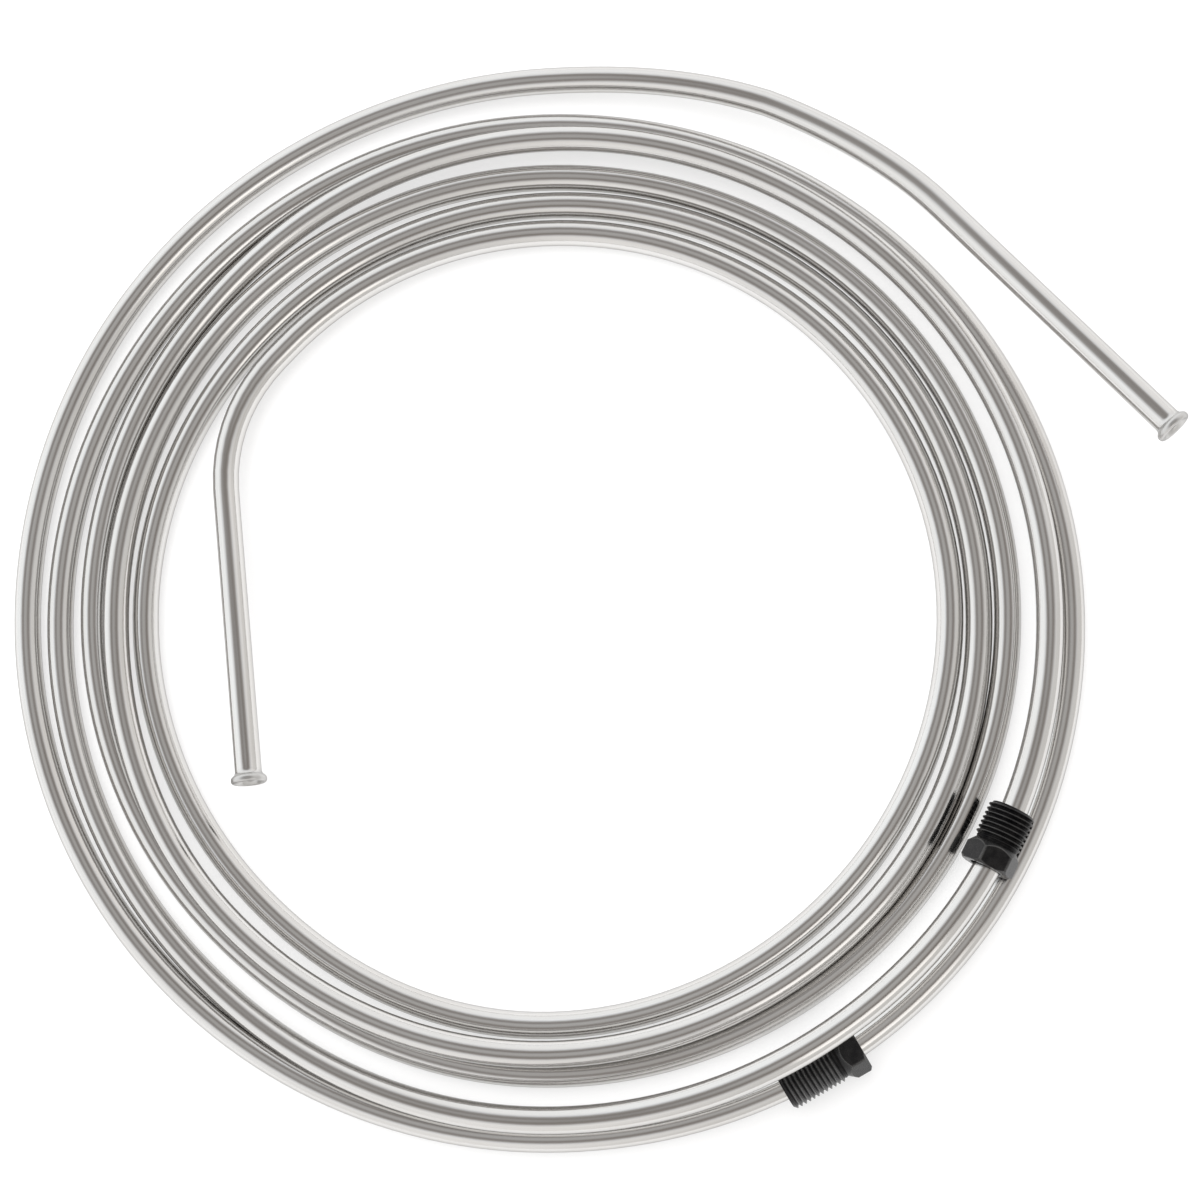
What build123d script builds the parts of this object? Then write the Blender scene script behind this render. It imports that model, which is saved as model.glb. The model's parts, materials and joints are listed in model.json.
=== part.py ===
from build123d import *
import math
import os

# Loose flat coil of 5/16 inch steel tube. Each end opens into a 45 degree flare, and two
# 9/16-18 tube nuts, one short and one long, are captive on the tube between the flares.
# Millimetres, +Z up. The coil lies flat on z = 0, and its bounding box is centred on the origin.

# Tube
TUBE_R = 7.94 / 2
TUBE_BORE_R = 6.52 / 2
FLARE_R = 5.35
FLARE_RIM = 0.9
FLARE_LIP = 0.35

# The coil's centre, measured from the origin
COIL_CENTRE = (-12.3, -1.25)

# Radius of the tube's centre line at every 45 degrees, counter-clockwise from +Y, one row a turn
TURN_START = 90
TURN_STEP = 45
TURN_RADII = [
    [162.9, 161.5, 160.5, 160.5, 160.5, 162, 158, 151.5],
    [148.5, 148.6, 150, 152, 154.5, 154.5, 151, 146],
    [142.5, 140.2, 139.5, 139.5, 142, 142.5, 139.5, 135.5],
    [132, 131.8, 131.2, 134.5, 136, 135.5, 131, 127],
    [123, 121.5, 123, 124.5, 128, 126, 122.5, 117.5],
    [114, 112.3],
]
OUTER_LEAD = [(45, 169.6), (67, 166.4)]
INNER_LEAD = [(1946, 111)]

# Height of the centre line above the surface, where a turn climbs over a nut or another turn
HEIGHTS = [
    (45, 19), (67, 10.5), (90, 5.6), (118, 4),
    (245, 4), (278, 5.2), (300, 7.5), (322, 5.6), (346, 4),
    (560, 4), (585, 4.8), (608, 8.3), (630, 12.2), (660, 18.8), (675, 17.9), (693, 15.2), (720, 10.8),
    (765, 10.4), (810, 10), (836, 7.8), (864, 4),
    (1170, 4), (1215, 4.4), (1260, 7.8), (1305, 10.6), (1350, 10.4), (1395, 8.6), (1440, 4),
    (1875, 4), (1915, 5), (1946, 6.6),
]

# The free ends, measured from the coil's centre: flare face, and where the coil takes over
OUTER_TIP = (185.2, 41.7, 33)
INNER_TIP = (-85.5, -57, 18)
OUTER_TAKEOVER = 60
INNER_TAKEOVER = 1935

# The swept tube: straight runs joined by tangent arcs, one every ARC_STEP degrees
ARC_STEP = 15
ARC_SHARE = 0.45
INNER_CORNER_REACH = 30.5
INNER_BEND_R = 51
TURNS = 5

# Tube nuts: 9/16-18 thread, 9/16 inch hexagon. Bearings count on from turn to turn.
# Each nut hangs off the centre line, by its inward offset, as far as its loose bore lets it.
THREAD_R = 14.29 / 2
NECK_R = 6.25
HEX_ACROSS_FLATS = 14.29
HEX_CHAMFER = 0.6
HEX_LENGTH = 4.8
CONE_LENGTH = 2.4
NOSE_LENGTH = 1.4
NUT_BORE_R = 4.75
SHORT_NUT_LENGTH = 18.6
LONG_NUT_LENGTH = 25.4
SHORT_NUT_BEARING = 691.2
LONG_NUT_BEARING = 300.7
SHORT_NUT_ROLL = 7
LONG_NUT_ROLL = 0
SHORT_NUT_INWARD = 0.4
LONG_NUT_INWARD = -0.1


def smooth_value(stations, x):
    """Value at x on a smooth curve through the stations that never overshoots them."""
    last = len(stations) - 2
    i = 0
    while i < last and x > stations[i + 1][0]:
        i += 1

    def grade(k):
        (x0, y0), (x1, y1) = stations[k], stations[k + 1]
        return (y1 - y0) / (x1 - x0)

    def slope(k):
        before = grade(max(k - 1, 0))
        after = grade(min(k, last))
        if before * after <= 0:
            return 0
        return 2 * before * after / (before + after)

    (x0, y0), (x1, y1) = stations[i], stations[i + 1]
    width = x1 - x0
    t = (x - x0) / width
    u = 1 - t
    ends = y0 * (1 + 2 * t) * u * u + y1 * (1 + 2 * u) * t * t
    slopes = slope(i) * t * u * u - slope(i + 1) * t * t * u
    return ends + slopes * width


def radius_stations():
    """Every station of the centre line's radius, from the outer lead to the inner lead."""
    stations = list(OUTER_LEAD)
    bearing = TURN_START
    for turn in TURN_RADII:
        for radius in turn:
            stations.append((bearing, radius))
            bearing += TURN_STEP
    return stations + INNER_LEAD


RADII = radius_stations()


def from_centre(x, y, z):
    return Vector(COIL_CENTRE[0] + x, COIL_CENTRE[1] + y, z)


def coil_point(bearing):
    radius = smooth_value(RADII, bearing)
    angle = math.radians(bearing)
    return from_centre(radius * math.cos(angle), radius * math.sin(angle), smooth_value(HEIGHTS, bearing))


def coil_direction(bearing):
    return (coil_point(bearing + 0.5) - coil_point(bearing - 0.5)).normalized()


def meeting_point(p, u, q, v):
    """Midpoint of the closest approach of the lines p + s u and q + t v."""
    gap = q - p
    along = u.dot(v)
    spread = 1 - along * along
    s = (gap.dot(u) - gap.dot(v) * along) / spread
    t = (gap.dot(u) * along - gap.dot(v)) / spread
    return (p + u * s + q + v * t) * 0.5


def coil_corners():
    """Corners of the run-and-arc route, with the bearing of the run before each corner."""
    corners = []
    bearing = OUTER_TAKEOVER
    while bearing + ARC_STEP <= INNER_TAKEOVER:
        ahead = bearing + ARC_STEP
        corner = meeting_point(
            coil_point(bearing), coil_direction(bearing), coil_point(ahead), coil_direction(ahead)
        )
        corners.append((bearing, corner))
        bearing = ahead
    return corners


def half_turn(before, corner, after):
    """Half the angle that the route turns through at a corner."""
    return math.radians(180 - (before - corner).get_angle(after - corner)) / 2


def arc_radius(before, corner, after):
    """Largest tidy radius for the arc at a corner, from the shorter of its two runs."""
    shorter = min((before - corner).length, (after - corner).length)
    return ARC_SHARE * shorter / math.tan(half_turn(before, corner, after))


def tube(points, radii, first_run=True, last_run=True):
    """Hollow tube along straight runs, with an arc of the given radius at each corner.

    Without its first or last run, the tube starts or ends with an arc.
    """
    path = FilletPolyline(*points, radius=radii)
    edges = path.edges().sort_by(path)
    if not first_run:
        edges = edges[1:]
    if not last_run:
        edges = edges[:-1]
    path = Wire(edges)
    start = Plane(path @ 0, z_dir=path % 0)
    return sweep(start * (Circle(TUBE_R) - Circle(TUBE_BORE_R)), path=path)


def flared_end(root, tip):
    """Straight end of the tube from root to tip, opening into a flare at the tip."""
    length = (tip - root).length
    cone = FLARE_R - TUBE_R
    seat = FLARE_R - FLARE_LIP - TUBE_BORE_R
    outline = Polyline(
        (TUBE_BORE_R, 0),
        (TUBE_R, 0),
        (TUBE_R, length - FLARE_RIM - cone),
        (FLARE_R, length - FLARE_RIM),
        (FLARE_R, length - FLARE_LIP),
        (FLARE_R - FLARE_LIP, length),
        (TUBE_BORE_R, length - seat),
        close=True,
    )
    section = Plane.XZ * make_face(outline)
    return Plane(root, z_dir=tip - root) * revolve(section, Axis.Z)


def tube_nut(length):
    """Tube nut along +Z from the back of its hexagon, bored through, countersunk at its nose."""
    corner_r = HEX_ACROSS_FLATS / math.sqrt(3)
    thread_start = HEX_LENGTH + CONE_LENGTH
    outline = Polyline(
        (0, 0),
        (corner_r - HEX_CHAMFER, 0),
        (corner_r, HEX_CHAMFER),
        (corner_r, HEX_LENGTH),
        (NECK_R, thread_start),
        (THREAD_R, thread_start + THREAD_R - NECK_R),
        (THREAD_R, length - NOSE_LENGTH),
        (THREAD_R - NOSE_LENGTH, length),
        (0, length),
        close=True,
    )
    turned = revolve(Plane.XZ * make_face(outline), Axis.Z)
    hexagon = extrude(RegularPolygon(HEX_ACROSS_FLATS / 2, 6, major_radius=False), thread_start)
    shank = Pos(0, 0, thread_start) * extrude(Circle(corner_r), length)
    seat_r = THREAD_R - NOSE_LENGTH - HEX_CHAMFER
    seat_depth = seat_r - NUT_BORE_R
    countersink = Cone(NUT_BORE_R, seat_r, seat_depth, align=(Align.CENTER, Align.CENTER, Align.MAX))
    bore = extrude(Circle(NUT_BORE_R), length)
    return turned & (hexagon + shank) - bore - Pos(0, 0, length) * countersink


def nut_plane(bearing, length, roll, offset, to_inner_end):
    """Plane at the back of a nut's hexagon, its normal along the nut.

    The nut sits midway across the bulge of the curved tube inside it, moved inward by offset.
    """
    middle = coil_point(bearing)
    travel = coil_direction(bearing)
    axis = travel if to_inner_end else travel * -1
    inward = (from_centre(0, 0, middle.Z) - middle).normalized()
    bulge = length**2 / (16 * smooth_value(RADII, bearing))
    level = axis.cross(Vector(0, 0, 1)).normalized()
    corner = level * math.cos(math.radians(roll)) + axis.cross(level) * math.sin(math.radians(roll))
    back = middle + inward * (bulge + offset) - axis * (length / 2)
    return Plane(back, x_dir=corner, z_dir=axis)


def save(shape, name):
    export_step(shape, f"parts/{name}.step")


def save_nut(name, bearing, length, roll, offset, to_inner_end):
    plane = nut_plane(bearing, length, roll, offset, to_inner_end)
    save(plane * tube_nut(length), name)
    middle = plane.origin + plane.z_dir * (length / 2)
    print(name, "middle", tuple(middle), "axis", tuple(plane.z_dir))


def save_tube():
    """The one long tube, parted into nodes where a run is straight, so they meet face to face."""
    corners = coil_corners()
    first_join = coil_point(OUTER_TAKEOVER)
    last_bearing = corners[-1][0] + ARC_STEP
    last_join = coil_point(last_bearing)
    half_run = (corners[0][1] - first_join).length
    outer_corner = first_join - coil_direction(OUTER_TAKEOVER) * half_run
    inner_corner = last_join + coil_direction(last_bearing) * INNER_CORNER_REACH
    outer_tip = from_centre(*OUTER_TIP)
    inner_tip = from_centre(*INNER_TIP)
    route = [outer_tip, outer_corner] + [corner for bearing, corner in corners] + [inner_corner, inner_tip]
    radii = [0]
    for before, corner, after in zip(route, route[1:], route[2:]):
        radii.append(arc_radius(before, corner, after))
    radii[-1] = INNER_BEND_R

    def halfway(i):
        return (route[i] + route[i + 1]) * 0.5

    # The straight ends start where the arcs of the first and last corners end
    outer_reach = radii[1] * math.tan(half_turn(*route[:3]))
    inner_reach = radii[-1] * math.tan(half_turn(*route[-3:]))
    outer_root = outer_corner + (outer_tip - outer_corner).normalized() * outer_reach
    inner_root = inner_corner + (inner_tip - inner_corner).normalized() * inner_reach
    save(flared_end(outer_root, outer_tip), "outer_flared_end")
    save(flared_end(inner_root, inner_tip), "inner_flared_end")

    # Route index of the corner before the first half turn, and corners in half a turn
    first = 1 + (TURN_START - OUTER_TAKEOVER) // ARC_STEP
    per_half = 180 // ARC_STEP
    points = route[:first + 1] + [halfway(first)]
    save(tube(points, radii[1:first + 1], first_run=False), "outer_lead")
    for half in range(2 * TURNS):
        low = first + half * per_half
        high = low + per_half
        points = [halfway(low)] + route[low + 1:high + 1] + [halfway(high)]
        name = f"coil_turn_{half // 2 + 1}{'ab'[half % 2]}"
        save(tube(points, radii[low + 1:high + 1]), name)
    low = first + 2 * TURNS * per_half
    save(tube([halfway(low)] + route[low + 1:], radii[low + 1:], last_run=False), "inner_bend")
    print("shortest arc radius", min(radii[1:]), "longest", max(radii[1:]))
    for name, root, tip in (("outer", outer_root, outer_tip), ("inner", inner_root, inner_tip)):
        print(name, "tip", tuple(tip), "axis", tuple((tip - root).normalized()), "length", (tip - root).length)


os.makedirs("parts", exist_ok=True)
save_tube()
save_nut("short_tube_nut", SHORT_NUT_BEARING, SHORT_NUT_LENGTH, SHORT_NUT_ROLL, SHORT_NUT_INWARD, True)
save_nut("long_tube_nut", LONG_NUT_BEARING, LONG_NUT_LENGTH, LONG_NUT_ROLL, LONG_NUT_INWARD, False)
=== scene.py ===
import json
import math

import bmesh
import bpy
from mathutils import Matrix, Vector


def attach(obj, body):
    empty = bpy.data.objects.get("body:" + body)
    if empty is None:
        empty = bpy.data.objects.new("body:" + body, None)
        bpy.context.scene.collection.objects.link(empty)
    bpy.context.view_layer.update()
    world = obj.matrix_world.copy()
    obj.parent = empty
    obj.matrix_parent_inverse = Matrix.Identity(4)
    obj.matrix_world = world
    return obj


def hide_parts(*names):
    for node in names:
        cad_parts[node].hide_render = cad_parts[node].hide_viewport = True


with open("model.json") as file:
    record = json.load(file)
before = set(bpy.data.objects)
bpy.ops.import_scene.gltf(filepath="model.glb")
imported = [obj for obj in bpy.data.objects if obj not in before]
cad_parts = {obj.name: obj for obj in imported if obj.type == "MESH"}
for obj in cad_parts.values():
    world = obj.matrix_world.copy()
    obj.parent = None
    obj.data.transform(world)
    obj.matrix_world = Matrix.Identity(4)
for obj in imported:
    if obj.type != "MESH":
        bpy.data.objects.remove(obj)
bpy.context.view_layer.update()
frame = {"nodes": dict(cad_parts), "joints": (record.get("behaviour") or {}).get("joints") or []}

# Everything is in metres, in the CAD model's frame. MM turns the tube's sizes into metres.
MM = 0.001

# Tube
TUBE_R = 3.97 * MM
BORE_R = 3.26 * MM
OUTSIDE_SIDES = 64
BORE_SIDES = 32
OUTSIDE_STEP = 5 * MM
BORE_STEP = 10 * MM

# The coil's centre, and the radius of the centre line at every 45 degrees from +Y, one row a turn
COIL_CENTRE = (-12.3, -1.25)
TURN_START = 90
TURN_STEP = 45
TURN_RADII = [
    [162.9, 161.5, 160.5, 160.5, 160.5, 162, 158, 151.5],
    [148.5, 148.6, 150, 152, 154.5, 154.5, 151, 146],
    [142.5, 140.2, 139.5, 139.5, 142, 142.5, 139.5, 135.5],
    [132, 131.8, 131.2, 134.5, 136, 135.5, 131, 127],
    [123, 121.5, 123, 124.5, 128, 126, 122.5, 117.5],
    [114, 112.3],
]
OUTER_LEAD = [(45, 169.6), (67, 166.4)]
INNER_LEAD = [(1946, 111)]

# Height of the centre line, where a turn climbs over a nut or another turn
HEIGHTS = [
    (45, 19), (67, 10.5), (90, 5.6), (118, 4),
    (245, 4), (278, 5.2), (300, 7.5), (322, 5.6), (346, 4),
    (560, 4), (585, 4.8), (608, 8.3), (630, 12.2), (660, 18.8), (675, 17.9), (693, 15.2), (720, 10.8),
    (765, 10.4), (810, 10), (836, 7.8), (864, 4),
    (1170, 4), (1215, 4.4), (1260, 7.8), (1305, 10.6), (1350, 10.4), (1395, 8.6), (1440, 4),
    (1875, 4), (1915, 5), (1946, 6.6),
]

# The free ends, measured from the coil's centre
OUTER_TIP = (185.2, 41.7, 33)
INNER_TIP = (-85.5, -57, 18)
OUTER_TAKEOVER = 60
INNER_TAKEOVER = 1935
OUTER_CORNER_REACH = 22 * MM
OUTER_BEND_REACH = 28 * MM
INNER_CORNER_REACH = 30.5 * MM
INNER_BEND_REACH = 25 * MM
BEND_HANDLE = 0.65

# Outline of a flare with a rolled rim: millimetres back from the tip, and radius, outside then
# inside. The steel turns satin within LIP_LENGTH of the tip.
FLARE_OUTSIDE = [
    (7, 3.97), (3.9, 3.97), (3.35, 4), (2.9, 4.12), (2.55, 4.36), (2.25, 4.72), (1.95, 5.06),
    (1.62, 5.28), (1.25, 5.35), (0.88, 5.35), (0.55, 5.28), (0.28, 5.12), (0.09, 4.88), (0, 4.6),
    (0.03, 4.34), (0.16, 4.1),
]
FLARE_INSIDE = [(0.4, 3.84), (0.85, 3.42), (1.1, 3.22), (1.35, 3.14), (1.75, 3.12), (2.4, 3.18), (3.2, 3.26)]
LIP_LENGTH = 4.4 * MM

# Tube nuts. NUT_SECTOR is the spacing of points round a sixth of a nut, in degrees from a corner.
NUT_SECTOR = [0, 0.7, 1.5, 4.5, 9, 14, 19.5, 25, 30, 35, 40.5, 46, 51, 55.5, 58.5, 59.3]
APOTHEM = 7.145 * MM
CORNER_R = 8.14 * MM
SHARP_CORNER_R = APOTHEM / math.cos(math.radians(30))
BACK_FACE_R = 7.3 * MM
BACK_CHAMFER_RISE = 0.85
HEX_LENGTH = 4.8 * MM
CONE_LENGTH = 2.4 * MM
NECK_R = 6.25 * MM
NECK_LENGTH = 0.35 * MM
CREST_R = 7.08 * MM
ROOT_R = 6.26 * MM
PITCH = 1.411 * MM
NOSE_LENGTH = 1.0 * MM
NUT_BORE_R = 4.75 * MM
SEAT_R = 5.35 * MM
NOSE_EASE = 0.08 * MM
EDGE_EASE = 0.07 * MM
BORE_EASE = 0.25 * MM
THREAD_FADE = 0.9 * MM
SHORT_NUT_LENGTH = 18.6 * MM
LONG_NUT_LENGTH = 25.4 * MM
SHORT_NUT_ROLL = 7
LONG_NUT_ROLL = 0

# One pitch of the thread: share of the pitch, and height from root (0) to crest (1)
THREAD_FORM = [
    (0, 0), (0.1, 0.02), (0.2, 0.2), (0.36, 0.68), (0.47, 0.97),
    (0.53, 1), (0.59, 0.97), (0.7, 0.68), (0.86, 0.2), (0.96, 0.02),
]


def smooth_value(stations, x):
    """Value at x on a smooth curve through the stations that never overshoots them."""
    last = len(stations) - 2
    i = 0
    while i < last and x > stations[i + 1][0]:
        i += 1

    def grade(k):
        (x0, y0), (x1, y1) = stations[k], stations[k + 1]
        return (y1 - y0) / (x1 - x0)

    def slope(k):
        before = grade(max(k - 1, 0))
        after = grade(min(k, last))
        if before * after <= 0:
            return 0
        return 2 * before * after / (before + after)

    (x0, y0), (x1, y1) = stations[i], stations[i + 1]
    width = x1 - x0
    t = (x - x0) / width
    u = 1 - t
    ends = y0 * (1 + 2 * t) * u * u + y1 * (1 + 2 * u) * t * t
    slopes = slope(i) * t * u * u - slope(i + 1) * t * t * u
    return ends + slopes * width


def radius_stations():
    stations = list(OUTER_LEAD)
    bearing = TURN_START
    for turn in TURN_RADII:
        for radius in turn:
            stations.append((bearing, radius))
            bearing += TURN_STEP
    return stations + INNER_LEAD


RADII = radius_stations()


def from_centre(x, y, z):
    return Vector((COIL_CENTRE[0] + x, COIL_CENTRE[1] + y, z)) * MM


def coil_point(bearing):
    radius = smooth_value(RADII, bearing)
    angle = math.radians(bearing)
    return from_centre(radius * math.cos(angle), radius * math.sin(angle), smooth_value(HEIGHTS, bearing))


def coil_direction(bearing):
    return (coil_point(bearing + 0.5) - coil_point(bearing - 0.5)).normalized()


def bend(start, corner, end, steps=16):
    """Smooth bend from start to end, leaving and arriving along the lines to the corner."""
    handle_a = start.lerp(corner, BEND_HANDLE)
    handle_b = end.lerp(corner, BEND_HANDLE)
    points = []
    for k in range(1, steps):
        t = k / steps
        u = 1 - t
        points.append(start * u**3 + handle_a * 3 * u * u * t + handle_b * 3 * u * t * t + end * t**3)
    return points


def tube_route():
    """Points along the centre line of the whole tube, from the outer tip to the inner tip."""
    outer_tip = from_centre(*OUTER_TIP)
    inner_tip = from_centre(*INNER_TIP)
    first = coil_point(OUTER_TAKEOVER)
    last = coil_point(INNER_TAKEOVER)
    outer_corner = first - coil_direction(OUTER_TAKEOVER) * OUTER_CORNER_REACH
    inner_corner = last + coil_direction(INNER_TAKEOVER) * INNER_CORNER_REACH
    outer_root = outer_corner + (outer_tip - outer_corner).normalized() * OUTER_BEND_REACH
    inner_root = inner_corner + (inner_tip - inner_corner).normalized() * INNER_BEND_REACH
    inner_start = inner_corner - coil_direction(INNER_TAKEOVER) * INNER_BEND_REACH
    coil = []
    bearing = OUTER_TAKEOVER + 5
    while bearing <= INNER_TAKEOVER:
        coil.append(coil_point(bearing))
        bearing += 1
    start = [outer_tip, outer_root] + bend(outer_root, outer_corner, coil[0])
    end = [inner_start] + bend(inner_start, inner_corner, inner_root) + [inner_root, inner_tip]
    return start + coil + end


class Route:
    """A centre line that gives its point and its direction at any distance along it."""

    def __init__(self, points):
        self.points = points
        self.at = [0]
        for a, b in zip(points, points[1:]):
            self.at.append(self.at[-1] + (b - a).length)
        self.length = self.at[-1]

    def point(self, distance):
        low, high = 0, len(self.at) - 2
        while low < high:
            middle = (low + high + 1) // 2
            if self.at[middle] <= distance:
                low = middle
            else:
                high = middle - 1
        share = (distance - self.at[low]) / (self.at[low + 1] - self.at[low])
        return self.points[low].lerp(self.points[low + 1], share)

    def direction(self, distance):
        reach = 1.5 * MM
        back = self.point(max(distance - reach, 0))
        ahead = self.point(min(distance + reach, self.length))
        return (ahead - back).normalized()


def ring_distances(route, step):
    """Even distances along the route between the two flares."""
    margin = FLARE_OUTSIDE[0][0] * MM
    count = math.ceil((route.length - 2 * margin) / step)
    return [margin + (route.length - 2 * margin) * k / count for k in range(count + 1)]


def tube_rings(route):
    """Rings of the closed tube wall: distance along the route, radius, number of sides."""
    rings = []
    outer_lip = [(a * MM, r * MM, OUTSIDE_SIDES) for a, r in FLARE_OUTSIDE]
    inner_lip = [(a * MM, r * MM, BORE_SIDES) for a, r in FLARE_INSIDE]
    for a, r, sides in reversed(outer_lip[1:]):
        rings.append((a, r, sides))
    for distance in ring_distances(route, OUTSIDE_STEP):
        rings.append((distance, TUBE_R, OUTSIDE_SIDES))
    for a, r, sides in outer_lip[1:] + inner_lip:
        rings.append((route.length - a, r, sides))
    for distance in reversed(ring_distances(route, BORE_STEP)):
        rings.append((distance, BORE_R, BORE_SIDES))
    for a, r, sides in reversed(inner_lip):
        rings.append((a, r, sides))
    return rings


def frames_along(route, distances):
    """Cross axes at each distance, kept from twisting along the way."""
    axes = {}
    side = None
    for distance in sorted(set(distances)):
        ahead = route.direction(distance)
        if side is None:
            side = ahead.cross(Vector((0, 0, 1))).normalized()
        side = (side - ahead * side.dot(ahead)).normalized()
        axes[distance] = (side, ahead.cross(side))
    return axes


def join_rings(faces, a, b, sides_a, sides_b):
    """Faces between two rings, given the first index of each. One may have twice the sides."""
    if sides_a == sides_b:
        for k in range(sides_a):
            n = (k + 1) % sides_a
            faces.append((a + k, a + n, b + n, b + k))
    elif sides_a > sides_b:
        for k in range(sides_b):
            n = (k + 1) % sides_b
            wide = (a + 2 * k, a + 2 * k + 1, a + (2 * k + 2) % sides_a)
            faces.append((wide[0], wide[1], b + k))
            faces.append((wide[1], wide[2], b + n, b + k))
    else:
        for k in range(sides_a):
            n = (k + 1) % sides_a
            wide = (b + 2 * k, b + 2 * k + 1, b + (2 * k + 2) % sides_b)
            faces.append((a + k, wide[1], wide[0]))
            faces.append((a + k, a + n, wide[2], wide[1]))


def new_object(name, points, faces):
    mesh = bpy.data.meshes.new(name)
    mesh.from_pydata(points, [], faces)
    mesh.validate()
    mesh.shade_smooth()
    piece = bpy.data.objects.new(name, mesh)
    bpy.context.collection.objects.link(piece)
    return piece


def tube_piece(route):
    """The whole tube as one closed wall, with its place along and round the tube on each point."""
    rings = tube_rings(route)
    axes = frames_along(route, [distance for distance, radius, sides in rings])
    points, places, starts, faces = [], [], [], []
    for distance, radius, sides in rings:
        starts.append(len(points))
        middle = route.point(distance)
        side, up = axes[distance]
        for k in range(sides):
            turn = 2 * math.pi * k / sides
            across, over = math.cos(turn) * radius, math.sin(turn) * radius
            points.append(middle + side * across + up * over)
            places.append((distance, across, over))
    count = len(rings)
    for i in range(count):
        j = (i + 1) % count
        join_rings(faces, starts[i], starts[j], rings[i][2], rings[j][2])
    piece = new_object("tube", points, faces)
    place = piece.data.attributes.new("tube_place", "FLOAT_VECTOR", "POINT")
    for item, value in zip(place.data, places):
        item.vector = value
    return piece


def hex_radius(angle):
    """Radius of the hexagon at an angle in degrees from a corner, its corners eased."""
    from_flat = (angle % 60) - 30
    return min(APOTHEM / math.cos(math.radians(from_flat)), CORNER_R)


def thread_height(share):
    """Height of the thread form, from 0 at the root to 1 at the crest, at a share of a pitch."""
    share %= 1
    form = THREAD_FORM + [(1, THREAD_FORM[0][1])]
    for (s0, h0), (s1, h1) in zip(form, form[1:]):
        if s0 <= share <= s1:
            return h0 + (h1 - h0) * (share - s0) / (s1 - s0)
    return 0


def nut_head_rows(angles):
    """Rows of the hexagon and its cone, from the bore's back edge to the neck.

    Every point is its radius, its distance along the nut, and its rubbing and painted light, from 1 for a
    rubbed edge lightened also as a painted highlight, to 0 for an open face and -1 for painted shade at the
    bottom of the thread.
    """
    edge = EDGE_EASE
    cone_grade = CONE_LENGTH / (SHARP_CORNER_R - NECK_R)
    rows = [
        [(NUT_BORE_R, BORE_EASE, 0)] * len(angles),
        [(NUT_BORE_R + BORE_EASE, 0, 0)] * len(angles),
        [(min(hex_radius(a), BACK_FACE_R) - edge, 0, 0) for a in angles],
    ]
    chamfer, back, flat_back, flat_front, front, cone, below = [], [], [], [], [], [], []
    for a in angles:
        r = hex_radius(a)
        rise = max(r - BACK_FACE_R, 0) * BACK_CHAMFER_RISE
        meet = HEX_LENGTH + (SHARP_CORNER_R - r) * cone_grade
        # Corners, and the back, front and cone edge rows marked 1, are rubbed paler and lightened also as a
        # painted highlight along the edges
        corner_rub_and_highlight = 1 if r > CORNER_R - 0.05 * MM else 0
        chamfer.append((min(r, BACK_FACE_R) - edge * 0.25, edge * 0.25, 0.5))
        back.append((r, rise + edge, 1))
        flat_back.append((r, rise + edge * 3, corner_rub_and_highlight))
        flat_front.append((r, meet - edge * 3, corner_rub_and_highlight))
        front.append((r, meet - edge, 1))
        cone.append((r - edge * 0.7, meet + edge * 0.7, 1))
        below.append((r - edge * 4, meet + edge * 4 * cone_grade, 0))
    rows += [chamfer, back, flat_back, flat_front, front, cone, below]
    # The neck is marked below 0 for painted shade, by a lower specular level there
    rows.append([(NECK_R + edge, HEX_LENGTH + CONE_LENGTH - edge, -0.5)] * len(angles))
    return rows


def nut_thread_rows(angles, length):
    """Rows that follow the thread's helix from the neck to the nose chamfer."""
    start = HEX_LENGTH + CONE_LENGTH
    first = start + NECK_LENGTH
    last = length - NOSE_EASE
    nose_r = CREST_R - NOSE_LENGTH
    # The neck ring is marked -1 for painted shade, by a lower specular level there
    rows = [[(NECK_R, start, -1)] * len(angles)]
    turns = math.ceil((length - start) / PITCH) + 1
    for turn in range(-1, turns):
        for share, _ in THREAD_FORM:
            row = []
            for a in angles:
                along = min(max(first + (turn + share + a / 360) * PITCH, first), last)
                rise = thread_height((along - first) / PITCH - a / 360)
                grown = min((along - first) / THREAD_FADE, 1)
                r = ROOT_R + (CREST_R - ROOT_R) * rise * grown
                r = min(r, nose_r + length - along)
                depth = (CREST_R - r) / (CREST_R - ROOT_R)
                # Crests near full height are marked 1, rubbed paler and lightened as a painted highlight;
                # lower down the thread is marked below 0 for painted shade in its bottom
                row.append((r, along, 1 if depth < 0.08 else -depth))
            rows.append(row)
    rows.append([(nose_r - NOSE_EASE, length, 0)] * len(angles))
    rows.append([(SEAT_R, length, 0)] * len(angles))
    rows.append([(NUT_BORE_R, length - (SEAT_R - NUT_BORE_R), 0)] * len(angles))
    return rows


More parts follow.
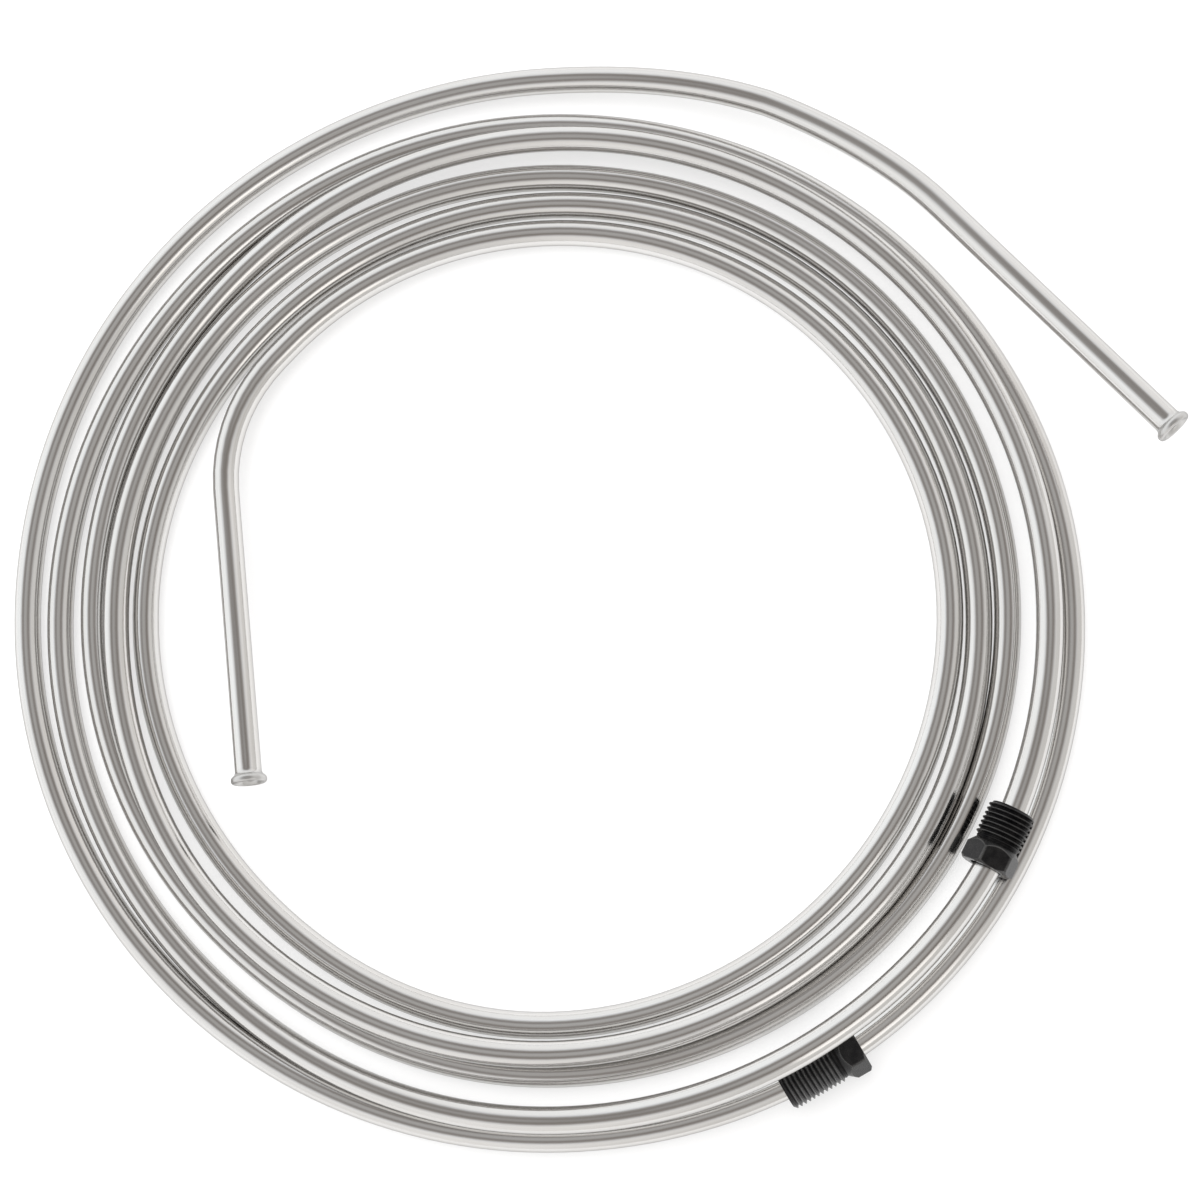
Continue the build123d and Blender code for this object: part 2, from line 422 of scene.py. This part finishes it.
def nut_piece(name, joint, length, roll):
    """A tube nut with a real helical thread, on its joint's axis, back of its hexagon first."""
    angles = [60 * sector + a for sector in range(6) for a in NUT_SECTOR]
    rows = nut_head_rows(angles) + nut_thread_rows(angles, length)
    axis = Vector(joint["axis"]).normalized()
    middle = Vector(joint["pos_m"])
    level = axis.cross(Vector((0, 0, 1))).normalized()
    over = axis.cross(level)
    back = middle - axis * length / 2
    points, wear_and_painted_light, faces = [], [], []
    for row in rows:
        for a, (r, along, rub_and_painted_light) in zip(angles, row):
            turn = math.radians(a + roll)
            outward = level * math.cos(turn) + over * math.sin(turn)
            points.append(back + axis * along + outward * r)
            wear_and_painted_light.append(rub_and_painted_light)
    sides = len(angles)
    for i in range(len(rows)):
        join_rings(faces, i * sides, (i + 1) % len(rows) * sides, sides, sides)
    piece = new_object(name, points, faces)
    # Per point: 1 on rubbed edges lightened as a painted highlight, below 0 for painted shade in the
    # thread's bottom and neck
    mask = piece.data.attributes.new("wear_and_painted_light", "FLOAT", "POINT")
    for item, value in zip(mask.data, wear_and_painted_light):
        item.value = value
    clean_nut(piece)
    return piece


def clean_nut(piece):
    """Merges the thread's rows where they meet the neck and the nose, and marks sharp edges."""
    merge = 0.004 * MM
    work = bmesh.new()
    work.from_mesh(piece.data)
    bmesh.ops.remove_doubles(work, verts=work.verts, dist=merge)
    bmesh.ops.dissolve_degenerate(work, edges=work.edges, dist=merge)
    bmesh.ops.recalc_face_normals(work, faces=work.faces)
    work.to_mesh(piece.data)
    work.free()
    piece.data.set_sharp_from_angle(angle=math.radians(38))


# Materials. The drawing lines and clouds are noise stretched along the tube: repeats a metre
# along it, then across it and through it.
DRAWING_LINES = (6, 1100, 1100)
STEEL_CLOUDS = (22, 160, 160)
STEEL_DARK = (0.655, 0.636, 0.614)
STEEL_LIGHT = (0.755, 0.75, 0.742)
STEEL_ROUGHNESS = (0.13, 0.27)
EDGE_TINT = (0.55, 0.55, 0.55)
LIP_COLOUR = (0.61, 0.603, 0.592)
LIP_ROUGHNESS = 0.36
OXIDE_DARK = (0.003, 0.003, 0.0035)
OXIDE_LIGHT = (0.011, 0.0105, 0.0105)
# Paler colour of rubbed edges and crests, standing also for a painted highlight along them
OXIDE_RUBBED_AND_HIGHLIGHT = (0.08, 0.078, 0.076)
OXIDE_ROUGHNESS = (0.2, 0.36)


def new_material(name):
    material = bpy.data.materials.new(name)
    material.use_nodes = True
    return material, material.node_tree.nodes, material.node_tree.links


def math_node(nodes, links, operation, first, second):
    node = nodes.new("ShaderNodeMath")
    node.operation = operation
    for socket, value in zip(node.inputs, (first, second)):
        if isinstance(value, (int, float)):
            socket.default_value = value
        else:
            links.new(value, socket)
    return node.outputs[0]


def noise(nodes, links, place, scale, size, detail=3.0, roughness=0.55):
    """Noise over place stretched by scale, three factors. size is the noise's own scale."""
    mapping = nodes.new("ShaderNodeMapping")
    mapping.inputs["Scale"].default_value = scale
    links.new(place, mapping.inputs["Vector"])
    texture = nodes.new("ShaderNodeTexNoise")
    texture.inputs["Scale"].default_value = size
    texture.inputs["Detail"].default_value = detail
    texture.inputs["Roughness"].default_value = roughness
    links.new(mapping.outputs[0], texture.inputs["Vector"])
    return texture.outputs["Fac"]


def ramp(nodes, links, value, stops):
    """Colour ramp of value. stops are (place, (r, g, b))."""
    node = nodes.new("ShaderNodeValToRGB")
    elements = node.color_ramp.elements
    while len(elements) < len(stops):
        elements.new(0.5)
    for element, (place, colour) in zip(elements, stops):
        element.position = place
        element.color = (*colour, 1)
    links.new(value, node.inputs["Fac"])
    return node.outputs["Color"]


def spread(nodes, links, value, low, high):
    """Value from 0..1 mapped to low..high."""
    node = nodes.new("ShaderNodeMapRange")
    node.inputs["To Min"].default_value = low
    node.inputs["To Max"].default_value = high
    links.new(value, node.inputs["Value"])
    return node.outputs["Result"]


def mix_colours(nodes, links, factor, first, second):
    """Colour between first, a socket, and second, a plain colour."""
    node = nodes.new("ShaderNodeMix")
    node.data_type = "RGBA"
    links.new(factor, node.inputs["Factor"])
    links.new(first, node.inputs["A"])
    node.inputs["B"].default_value = (*second, 1)
    return node.outputs["Result"]


def add_bump(nodes, links, shader, height, strength):
    """Fine relief on the shader, 0.02 mm deep at full strength."""
    bump = nodes.new("ShaderNodeBump")
    bump.inputs["Strength"].default_value = strength
    bump.inputs["Distance"].default_value = 0.02 * MM
    links.new(height, bump.inputs["Height"])
    links.new(bump.outputs["Normal"], shader.inputs["Normal"])


def lip_share(nodes, links, place, length):
    """1 on the flares and 0 on the rest of the tube, from the place along the tube."""
    parts = nodes.new("ShaderNodeSeparateXYZ")
    links.new(place, parts.inputs[0])
    from_end = math_node(nodes, links, "PINGPONG", parts.outputs["X"], length / 2)
    lip = nodes.new("ShaderNodeMapRange")
    lip.inputs["From Min"].default_value = LIP_LENGTH
    lip.inputs["From Max"].default_value = LIP_LENGTH * 0.5
    links.new(from_end, lip.inputs["Value"])
    return lip.outputs["Result"]


def tube_material(length):
    """Bright drawn stainless steel with lengthwise drawing lines, turning satin on the flares."""
    material, nodes, links = new_material("drawn_stainless")
    shader = nodes["Principled BSDF"]
    shader.inputs["Metallic"].default_value = 1.0
    shader.inputs["Specular Tint"].default_value = (*EDGE_TINT, 1)
    attribute = nodes.new("ShaderNodeAttribute")
    attribute.attribute_name = "tube_place"
    place = attribute.outputs["Vector"]
    lines = noise(nodes, links, place, DRAWING_LINES, 1.0, 2.0, 0.5)
    clouds = noise(nodes, links, place, STEEL_CLOUDS, 1.0, 3.0)
    line_part = math_node(nodes, links, "MULTIPLY", lines, 0.6)
    cloud_part = math_node(nodes, links, "MULTIPLY", clouds, 0.4)
    tone = math_node(nodes, links, "ADD", line_part, cloud_part)
    colour = ramp(nodes, links, tone, [(0.3, STEEL_DARK), (0.7, STEEL_LIGHT)])
    lip = lip_share(nodes, links, place, length)
    links.new(mix_colours(nodes, links, lip, colour, LIP_COLOUR), shader.inputs["Base Color"])
    rough = spread(nodes, links, math_node(nodes, links, "MULTIPLY", lines, clouds), *STEEL_ROUGHNESS)
    satin = math_node(nodes, links, "MULTIPLY", lip, LIP_ROUGHNESS)
    links.new(math_node(nodes, links, "MAXIMUM", rough, satin), shader.inputs["Roughness"])
    add_bump(nodes, links, shader, lines, 0.035)
    return material


def nut_material():
    """Satin black oxide on machined steel, rubbed paler on the crests and corners, that paler colour also a
    painted highlight along the edges, with painted shade in the thread's bottom and neck through a lower
    specular level.
    """
    material, nodes, links = new_material("black_oxide")
    shader = nodes["Principled BSDF"]
    shader.inputs["Metallic"].default_value = 0.3
    coordinates = nodes.new("ShaderNodeTexCoord")
    place = coordinates.outputs["Object"]
    grain = noise(nodes, links, place, (1, 1, 1), 2600, 4.0, 0.6)
    patches = noise(nodes, links, place, (1, 1, 1), 420, 3.0)
    wear_and_painted_light = nodes.new("ShaderNodeAttribute")
    wear_and_painted_light.attribute_name = "wear_and_painted_light"
    # Open faces shine, and the bottom of the thread and the neck hardly do: painted shade in these recesses,
    # by a lower specular level
    shine = spread(nodes, links, wear_and_painted_light.outputs["Fac"], 0.06, 0.42)
    shine.node.inputs["From Min"].default_value = -0.8
    shine.node.inputs["From Max"].default_value = 0
    links.new(shine, shader.inputs["Specular IOR Level"])
    edges = math_node(nodes, links, "MAXIMUM", wear_and_painted_light.outputs["Fac"], 0)
    # Rubbed edges and crests turn paler, which also paints a highlight along them
    rub_and_painted_light = math_node(nodes, links, "MULTIPLY", edges, spread(nodes, links, patches, 0.25, 0.9))
    base = ramp(nodes, links, patches, [(0.35, OXIDE_DARK), (0.65, OXIDE_LIGHT)])
    links.new(mix_colours(nodes, links, rub_and_painted_light, base, OXIDE_RUBBED_AND_HIGHLIGHT), shader.inputs["Base Color"])
    links.new(spread(nodes, links, grain, *OXIDE_ROUGHNESS), shader.inputs["Roughness"])
    add_bump(nodes, links, shader, grain, 0.15)
    return material


def floor_material():
    """White table, lit from within enough to hide most of the contact shadows."""
    material, nodes, links = new_material("white_table")
    shader = nodes["Principled BSDF"]
    coordinates = nodes.new("ShaderNodeTexCoord")
    soft = noise(nodes, links, coordinates.outputs["Object"], (1, 1, 1), 9, 2.0)
    colour = ramp(nodes, links, soft, [(0.3, (0.4, 0.4, 0.4)), (0.7, (0.43, 0.43, 0.43))])
    links.new(colour, shader.inputs["Base Color"])
    shader.inputs["Roughness"].default_value = 0.6
    shader.inputs["Emission Color"].default_value = (1, 1, 1, 1)
    shader.inputs["Emission Strength"].default_value = 0.6
    return material


# Stage. The studio's glow by height (0 level, 1 overhead), then by side (0 away from the key, 1 to it)
FLOOR_HALF = 12.0
GLOW_STRENGTH = 1.5
KEY_AZIMUTH = 150
CEILING_STOPS = [
    (0, (0.82, 0.82, 0.82)), (0.62, (0.8, 0.8, 0.8)), (0.74, (0.635, 0.64, 0.655)),
    (0.86, (0.27, 0.257, 0.246)), (0.935, (0.2, 0.187, 0.178)), (0.985, (0.39, 0.385, 0.38)),
]
SIDE_STOPS = [
    (0, (0.6, 0.59, 0.575)), (0.16, (0.64, 0.63, 0.615)), (0.36, (0.84, 0.825, 0.81)),
    (0.6, (0.88, 0.88, 0.88)), (0.95, (0.97, 0.99, 1)),
]


def add_floor():
    half = FLOOR_HALF
    corners = [(-half, -half, 0), (half, -half, 0), (half, half, 0), (-half, half, 0)]
    floor = new_object("floor", corners, [(0, 1, 2, 3)])
    floor.data.materials.append(floor_material())


def add_softbox(name, azimuth, elevation, distance, width, height, power, colour, mirrored=True):
    """Rectangular soft light aimed at the coil. Azimuth 0 is +X and 90 is +Y.

    One that isn't mirrored lights the scene but doesn't show in the metal.
    """
    light = bpy.data.lights.new(name, "AREA")
    light.shape = "RECTANGLE"
    light.size = width
    light.size_y = height
    light.energy = power
    light.color = colour
    lamp = bpy.data.objects.new(name, light)
    a, e = math.radians(azimuth), math.radians(elevation)
    away = Vector((math.cos(a) * math.cos(e), math.sin(a) * math.cos(e), math.sin(e)))
    lamp.location = away * distance
    lamp.rotation_mode = "QUATERNION"
    lamp.rotation_quaternion = away.to_track_quat("Z", "Y")
    lamp.visible_glossy = mirrored
    bpy.context.collection.objects.link(lamp)


def studio_glow():
    """A soft studio all round: a dim ceiling, bright walls, and a darker side away from the key."""
    world = bpy.data.worlds.new("studio")
    world.use_nodes = True
    nodes, links = world.node_tree.nodes, world.node_tree.links
    coordinates = nodes.new("ShaderNodeTexCoord")
    parts = nodes.new("ShaderNodeSeparateXYZ")
    links.new(coordinates.outputs["Generated"], parts.inputs[0])
    height = ramp(nodes, links, parts.outputs["Z"], CEILING_STOPS)
    turn = math.radians(KEY_AZIMUTH)
    toward_x = math_node(nodes, links, "MULTIPLY", parts.outputs["X"], math.cos(turn))
    toward_y = math_node(nodes, links, "MULTIPLY", parts.outputs["Y"], math.sin(turn))
    toward_key = math_node(nodes, links, "ADD", toward_x, toward_y)
    share = math_node(nodes, links, "MULTIPLY_ADD", toward_key, 0.5)
    share.node.inputs[2].default_value = 0.5
    side = ramp(nodes, links, share, SIDE_STOPS)
    mix = nodes.new("ShaderNodeMix")
    mix.data_type = "RGBA"
    mix.blend_type = "MULTIPLY"
    mix.inputs["Factor"].default_value = 1
    links.new(height, mix.inputs["A"])
    links.new(side, mix.inputs["B"])
    glow = nodes["Background"]
    links.new(mix.outputs["Result"], glow.inputs["Color"])
    glow.inputs["Strength"].default_value = GLOW_STRENGTH
    bpy.context.scene.world = world


def add_lights():
    studio_glow()
    add_softbox("top_fill", 130, 66, 1.6, 1.6, 1.6, 26, (1.0, 1.0, 1.0), mirrored=False)
    add_softbox("low_right", -50, 42, 1.2, 0.5, 0.5, 0.6, (1.0, 0.97, 0.94))


CAMERA_LENS = 63
CAMERA_PLACE = Vector((62.7, -90.65, 631.3)) * MM
CAMERA_AIM = Vector((5.55, -2.61, 4.0)) * MM


def add_camera():
    data = bpy.data.cameras.new("camera")
    data.lens = CAMERA_LENS
    data.sensor_width = 36
    data.clip_start = 0.02
    camera = bpy.data.objects.new("camera", data)
    look = (CAMERA_AIM - CAMERA_PLACE).normalized()
    right = look.cross(Vector((0, 1, 0))).normalized()
    up = right.cross(look)
    turn = Matrix((right, up, -look)).transposed()
    camera.matrix_world = Matrix.Translation(CAMERA_PLACE) @ turn.to_4x4()
    bpy.context.collection.objects.link(camera)
    bpy.context.scene.camera = camera


def joint_named(name):
    for joint in frame["joints"]:
        if joint["name"] == name:
            return joint


def tube_nodes():
    return [node for node in frame["nodes"] if not node.endswith("tube_nut")]


add_camera()
add_floor()
add_lights()

route = Route(tube_route())
tube = tube_piece(route)
tube.data.materials.append(tube_material(route.length))
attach(tube, "coil")
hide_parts(*tube_nodes())

# The long nut is kept out of the mirror images in the tube, where it would show as a stray mark
oxide = nut_material()
for name, length, roll, mirrored in (
    ("short_nut", SHORT_NUT_LENGTH, SHORT_NUT_ROLL, True),
    ("long_nut", LONG_NUT_LENGTH, LONG_NUT_ROLL, False),
):
    nut = nut_piece(name, joint_named(f"{name}_spin"), length, roll)
    nut.data.materials.append(oxide)
    nut.visible_glossy = mirrored
    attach(nut, name)
    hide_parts(name.replace("_nut", "_tube_nut"))

bpy.context.scene.view_settings.view_transform = "Standard"
